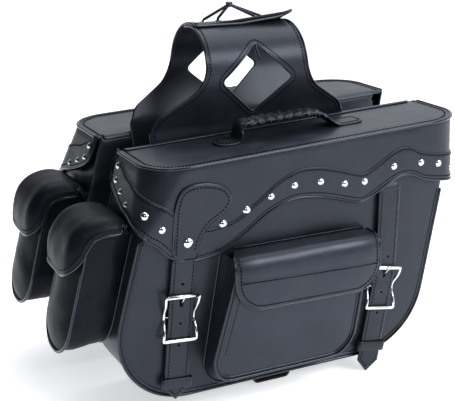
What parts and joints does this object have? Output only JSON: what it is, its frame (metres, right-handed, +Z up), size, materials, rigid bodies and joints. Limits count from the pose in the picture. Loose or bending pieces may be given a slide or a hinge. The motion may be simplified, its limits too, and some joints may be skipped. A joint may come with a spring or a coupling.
{
  "type": "motorcycle saddlebags",
  "caption": "Throw-over pair of black leather motorcycle saddlebags on an arched yoke, with hinged studded lids, buckled straps, front and end pockets and carry handles.",
  "frame": {"origin": "middle of the yoke's underside, where it rests on the motorcycle's seat", "axes": "+X towards the motorcycle's rear, +Y towards its right side, +Z up"},
  "size_m": [0.6172, 0.417, 0.5352],
  "materials": {
    "body_leather": "satin, fine grain",
    "lid_leather": "semi-gloss, fine grain",
    "pocket_leather": "satin, soft",
    "strap_leather": "satin",
    "handle_leather": "creased, satin",
    "yoke_leather": "semi-gloss, fine grain",
    "piping": "glossy",
    "lace_leather": "glossy",
    "chrome": "polished",
    "snap_metal": "satin"
  },
  "bodies": {
    "yoke": {"left_yoke": "yoke_leather", "right_yoke": "yoke_leather", "eyelets": "chrome", "lace": "lace_leather", "lace_knot": "lace_leather", "lace_tail": "lace_leather"},
    "left_bag": {"left_back_panel": "body_leather", "left_gusset": "body_leather", "left_front_panel": "body_leather", "left_body_piping": "piping", "left_snap_studs": "snap_metal", "left_front_pocket": "pocket_leather", "left_end_pocket": "pocket_leather", "left_tie_loop": "strap_leather", "left_yoke_flange": "yoke_leather"},
    "left_lid": {"left_lid_top": "lid_leather", "left_lid_skirt": "body_leather", "left_lid_studs": "chrome", "left_front_strap_base": "strap_leather", "left_handle": "handle_leather"},
    "left_pocket_flap": {"left_front_pocket_flap": "pocket_leather"},
    "left_end_flap": {"left_end_pocket_flap": "pocket_leather"},
    "left_front_strap": {"left_front_strap": "strap_leather", "left_front_buckle": "chrome", "left_front_keeper": "strap_leather", "left_front_snap_socket": "snap_metal"},
    "left_front_prong": {"left_front_prong": "chrome"},
    "left_rear_strap": {"left_rear_strap": "strap_leather", "left_rear_buckle": "chrome", "left_rear_keeper": "strap_leather", "left_rear_snap_socket": "snap_metal"},
    "left_rear_prong": {"left_rear_prong": "chrome"},
    "right_bag": {"right_back_panel": "body_leather", "right_gusset": "body_leather", "right_front_panel": "body_leather", "right_body_piping": "piping", "right_snap_studs": "snap_metal", "right_front_pocket": "pocket_leather", "right_end_pocket": "pocket_leather", "right_tie_loop": "strap_leather", "right_yoke_flange": "yoke_leather"},
    "right_lid": {"right_lid_top": "lid_leather", "right_lid_skirt": "body_leather", "right_lid_studs": "chrome", "right_front_strap_base": "strap_leather", "right_handle": "handle_leather"},
    "right_pocket_flap": {"right_front_pocket_flap": "pocket_leather"},
    "right_end_flap": {"right_end_pocket_flap": "pocket_leather"},
    "right_front_strap": {"right_front_strap": "strap_leather", "right_front_buckle": "chrome", "right_front_keeper": "strap_leather", "right_front_snap_socket": "snap_metal"},
    "right_front_prong": {"right_front_prong": "chrome"},
    "right_rear_strap": {"right_rear_strap": "strap_leather", "right_rear_buckle": "chrome", "right_rear_keeper": "strap_leather", "right_rear_snap_socket": "snap_metal"},
    "right_rear_prong": {"right_rear_prong": "chrome"}
  },
  "joints": [
    {"name": "left_bag_swing", "type": "hinge", "parent": "yoke", "child": "left_bag", "pos_m": [0, -0.0362, -0.133], "axis": [-1, 0, 0], "range_deg": [0, 15]},
    {"name": "left_lid_hinge", "type": "hinge", "parent": "left_bag", "child": "left_lid", "pos_m": [0, -0.0415, -0.1453], "axis": [-0.9986, 0, -0.0523], "range_deg": [0, 55], "deforming": ["left_handle"]},
    {"name": "left_pocket_flap_hinge", "type": "hinge", "parent": "left_bag", "child": "left_pocket_flap", "pos_m": [0, -0.1745, -0.2717], "axis": [-1, 0, 0], "range_deg": [0, 90]},
    {"name": "left_end_flap_hinge", "type": "hinge", "parent": "left_bag", "child": "left_end_flap", "pos_m": [-0.2355, -0.091, -0.223], "axis": [0, 1, 0], "range_deg": [0, 60]},
    {"name": "left_front_strap_hinge", "type": "hinge", "parent": "left_lid", "child": "left_front_strap", "pos_m": [-0.16644, -0.1729, -0.27669], "axis": [-0.9959, 0, 0.0904], "range_deg": [0, 60]},
    {"name": "left_front_prong_hinge", "type": "hinge", "parent": "left_front_strap", "child": "left_front_prong", "pos_m": [-0.1735, -0.1679, -0.3545], "axis": [0.9968, 0, -0.0802], "range_deg": [0, 3]},
    {"name": "left_rear_strap_hinge", "type": "hinge", "parent": "left_lid", "child": "left_rear_strap", "pos_m": [0.15393, -0.1729, -0.223], "axis": [-0.999, 0, 0.0439], "range_deg": [0, 60]},
    {"name": "left_rear_prong_hinge", "type": "hinge", "parent": "left_rear_strap", "child": "left_rear_prong", "pos_m": [0.1475, -0.1679, -0.3695], "axis": [0.9866, 0, -0.1633], "range_deg": [0, 3]},
    {"name": "right_bag_swing", "type": "hinge", "parent": "yoke", "child": "right_bag", "pos_m": [0, 0.0362, -0.133], "axis": [1, 0, 0], "range_deg": [0, 15]},
    {"name": "right_lid_hinge", "type": "hinge", "parent": "right_bag", "child": "right_lid", "pos_m": [0, 0.0415, -0.1453], "axis": [0.9986, 0, 0.0523], "range_deg": [0, 55], "deforming": ["right_handle"]},
    {"name": "right_pocket_flap_hinge", "type": "hinge", "parent": "right_bag", "child": "right_pocket_flap", "pos_m": [0, 0.1745, -0.2717], "axis": [1, 0, 0], "range_deg": [0, 90]},
    {"name": "right_end_flap_hinge", "type": "hinge", "parent": "right_bag", "child": "right_end_flap", "pos_m": [-0.2355, 0.091, -0.223], "axis": [0, 1, 0], "range_deg": [0, 60]},
    {"name": "right_front_strap_hinge", "type": "hinge", "parent": "right_lid", "child": "right_front_strap", "pos_m": [-0.16644, 0.1729, -0.27669], "axis": [0.9959, 0, -0.0904], "range_deg": [0, 60]},
    {"name": "right_front_prong_hinge", "type": "hinge", "parent": "right_front_strap", "child": "right_front_prong", "pos_m": [-0.1735, 0.1679, -0.3545], "axis": [-0.9968, 0, 0.0802], "range_deg": [0, 3]},
    {"name": "right_rear_strap_hinge", "type": "hinge", "parent": "right_lid", "child": "right_rear_strap", "pos_m": [0.15393, 0.1729, -0.223], "axis": [0.999, 0, -0.0439], "range_deg": [0, 60]},
    {"name": "right_rear_prong_hinge", "type": "hinge", "parent": "right_rear_strap", "child": "right_rear_prong", "pos_m": [0.1475, 0.1679, -0.3695], "axis": [-0.9866, 0, 0.1633], "range_deg": [0, 3]}
  ]
}
